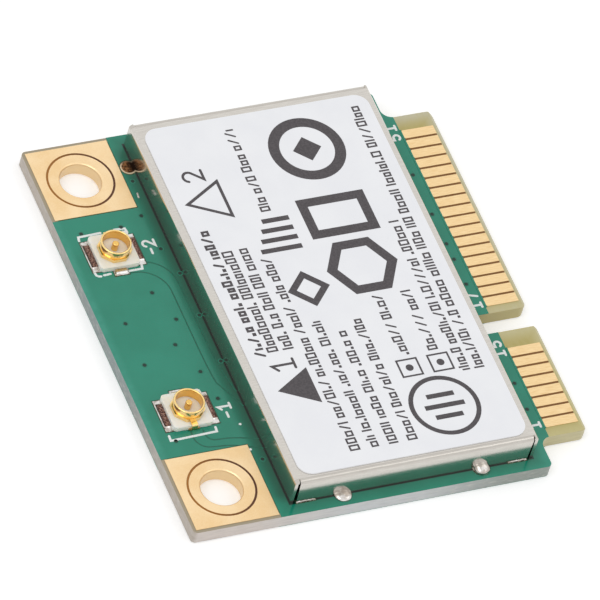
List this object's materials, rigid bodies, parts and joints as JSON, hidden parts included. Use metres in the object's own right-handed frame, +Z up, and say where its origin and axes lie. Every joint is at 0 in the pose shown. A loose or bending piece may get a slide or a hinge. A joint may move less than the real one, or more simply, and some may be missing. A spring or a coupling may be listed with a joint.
{
  "type": "wireless network card",
  "caption": "Half-size wireless mini card with a labelled shield can, coax antenna receptacles, plated mounting holes and a notched gold contact tongue.",
  "frame": {"origin": "under the middle of the card, on the plane that its bottom lands rest on", "axes": "+X from the mounting holes to the tip of the contact tongue, +Y across the card to the second antenna receptacle, +Z up on the component side"},
  "size_m": [0.0268, 0.03, 0.003],
  "materials": {
    "board_laminate": "bare glass-epoxy laminate, pale olive beige",
    "solder_mask": "glossy green solder mask",
    "gold_plate": "thin bright gold plating",
    "bare_copper_pad": "dulled copper pad with a bright rim",
    "tinned_copper": "tinned copper lands",
    "solder": "bright solder",
    "can_metal": "bright tinned sheet, nearly mirror smooth",
    "label_film": "white printed film",
    "socket_plastic": "cream heat-proof moulding",
    "socket_metal": "gold-plated sheet metal",
    "chip_resin": "black moulding resin",
    "ceramic_white": "pale ceramic",
    "ceramic_tan": "tan ceramic",
    "ferrite": "grey pressed ferrite",
    "resistor_coat": "black overglaze"
  },
  "bodies": {
    "root": {"circuit_board": "board_laminate", "solder_mask_top": "solder_mask", "solder_mask_bottom": "solder_mask", "hole_plating_1": "gold_plate", "hole_plating_2": "gold_plate", "ground_land_1": "gold_plate", "ground_land_2": "gold_plate", "contacts_top_long": "gold_plate", "contacts_top_short": "gold_plate", "contacts_bottom_long": "gold_plate", "contacts_bottom_short": "gold_plate", "round_ground_pad": "bare_copper_pad", "shield_lands": "tinned_copper", "shield_can": "can_metal", "shield_solder": "solder", "label": "label_film", "antenna_1_lands": "tinned_copper", "antenna_1_housing": "socket_plastic", "antenna_1_shell": "socket_metal", "antenna_1_pin": "socket_metal", "antenna_1_solder": "solder", "antenna_2_lands": "tinned_copper", "antenna_2_housing": "socket_plastic", "antenna_2_shell": "socket_metal", "antenna_2_pin": "socket_metal", "antenna_2_solder": "solder", "radio_chip": "chip_resin", "radio_chip_terminals": "tinned_copper", "front_end_module_1": "chip_resin", "front_end_module_2": "chip_resin", "voltage_regulator": "chip_resin", "module_terminals": "tinned_copper", "crystal_base": "ceramic_tan", "crystal_lid": "can_metal", "rf_filters": "ceramic_white", "power_inductor_1": "ferrite", "power_inductor_2": "ferrite", "bulk_capacitors": "ceramic_tan", "small_capacitors": "ceramic_tan", "resistors": "resistor_coat", "part_terminals": "tinned_copper", "component_lands": "gold_plate"}
  },
  "joints": []
}
